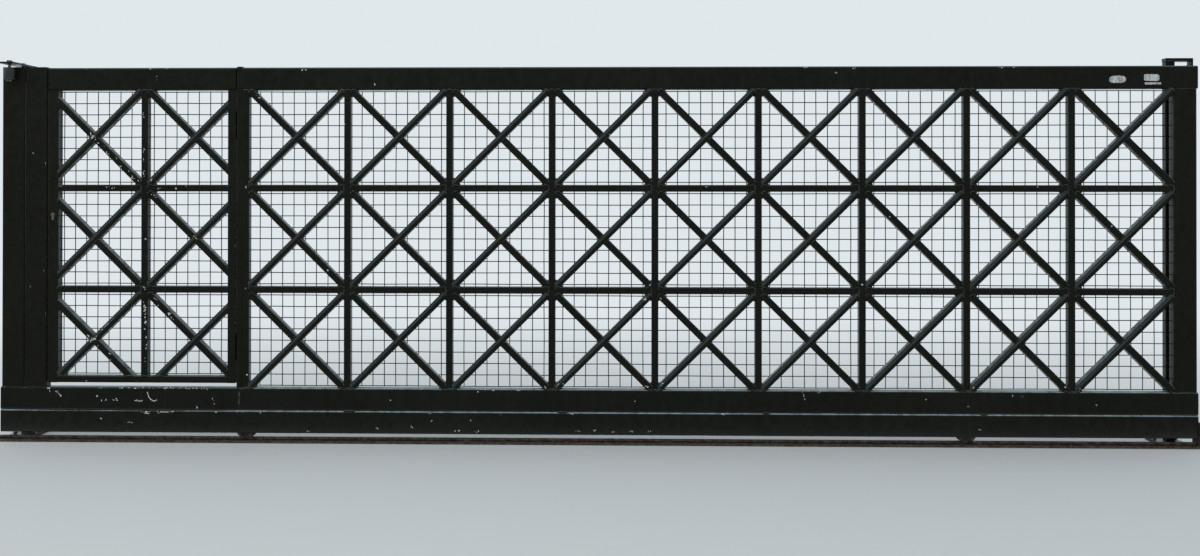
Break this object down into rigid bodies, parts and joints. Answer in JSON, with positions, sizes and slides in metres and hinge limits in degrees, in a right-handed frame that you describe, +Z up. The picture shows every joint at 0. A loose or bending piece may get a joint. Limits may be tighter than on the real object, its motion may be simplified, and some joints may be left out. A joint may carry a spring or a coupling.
{
  "type": "sliding driveway gate with wicket door",
  "caption": "Sliding driveway gate of welded box section: cross-braced lattice leaf with wire mesh and a wicket door, grooved wheels on a ground rail, guide post and catch post.",
  "frame": {"origin": "on the underside of the catch post's base plate, below the post's axis", "axes": "+X along the gate (the leaf opens towards -X), -Y towards the street, +Z up"},
  "size_m": [10.178, 0.235, 1.69],
  "materials": {
    "frame_paint": "weathered satin dark green-black paint",
    "lattice_paint": "weathered satin dark green-black paint",
    "mesh_paint": "painted wire, a little rusty",
    "door_paint": "satin dark paint, chipped on the front",
    "post_paint": "weathered satin dark paint",
    "bare_steel": "dull zinc-plated steel",
    "track_steel": "rusted mild steel, polished on the running line",
    "lock_metal": "nickel-plated, worn"
  },
  "bodies": {
    "ground": {"track_sole": "track_steel", "track_rail": "track_steel", "track_stops": "track_steel", "catch_post": "post_paint", "catch_post_base": "post_paint", "catch_post_tie": "post_paint", "guide_post": "post_paint", "guide_post_base": "post_paint", "guide_bracket": "post_paint", "guide_pins": "bare_steel"},
    "leaf": {"lower_beam": "frame_paint", "upper_beam": "frame_paint", "top_rail": "frame_paint", "tail_stile": "frame_paint", "door_post": "frame_paint", "door_jamb": "frame_paint", "end_stile": "frame_paint", "end_caps": "frame_paint", "uprights": "lattice_paint", "cross_rails": "lattice_paint", "braces_lower": "lattice_paint", "braces_middle": "lattice_paint", "braces_upper": "lattice_paint", "mesh_1": "mesh_paint", "mesh_2": "mesh_paint", "mesh_3": "mesh_paint", "mesh_4": "mesh_paint", "mesh_5": "mesh_paint", "mesh_6": "mesh_paint", "mesh_7": "mesh_paint", "mesh_8": "mesh_paint", "mesh_9": "mesh_paint", "leaf_hinges": "bare_steel", "wheel_axles": "bare_steel"},
    "door": {"door_lock_stile": "door_paint", "door_hinge_stile": "door_paint", "door_top_rail": "door_paint", "door_sill": "door_paint", "door_upright": "door_paint", "door_cross_rails": "door_paint", "door_braces": "door_paint", "door_mesh_left": "mesh_paint", "door_mesh_right": "mesh_paint", "door_hinges": "bare_steel", "door_lock": "lock_metal"},
    "wheel_left": {"wheel_left": "bare_steel"},
    "wheel_right": {"wheel_right": "bare_steel"},
    "roller_front": {"roller_front": "bare_steel"},
    "roller_back": {"roller_back": "bare_steel"}
  },
  "joints": [
    {"name": "leaf_slide", "type": "slide", "parent": "ground", "child": "leaf", "axis": [-1, 0, 0], "range_m": [0, 4.9]},
    {"name": "door_hinge", "type": "hinge", "parent": "leaf", "child": "door", "pos_m": [-4.0975, -0.018, 1], "axis": [0, 0, -1], "range_deg": [0, 105]},
    {"name": "wheel_left_spin", "type": "hinge", "parent": "leaf", "child": "wheel_left", "pos_m": [-4.055, -0.05, 0.0593], "axis": [0, -1, 0], "continuous": true},
    {"name": "wheel_right_spin", "type": "hinge", "parent": "leaf", "child": "wheel_right", "pos_m": [-0.905, -0.05, 0.0593], "axis": [0, -1, 0], "continuous": true},
    {"name": "roller_front_spin", "type": "hinge", "parent": "ground", "child": "roller_front", "pos_m": [-5.092, -0.095, 1.62], "axis": [0, 0, 1], "continuous": true},
    {"name": "roller_back_spin", "type": "hinge", "parent": "ground", "child": "roller_back", "pos_m": [-5.092, -0.005, 1.62], "axis": [0, 0, 1], "continuous": true}
  ],
  "couplings": [
    {"joint": "wheel_left_spin", "follows": "leaf_slide", "rad_per_m": 27.027},
    {"joint": "wheel_right_spin", "follows": "leaf_slide", "rad_per_m": 27.027}
  ]
}
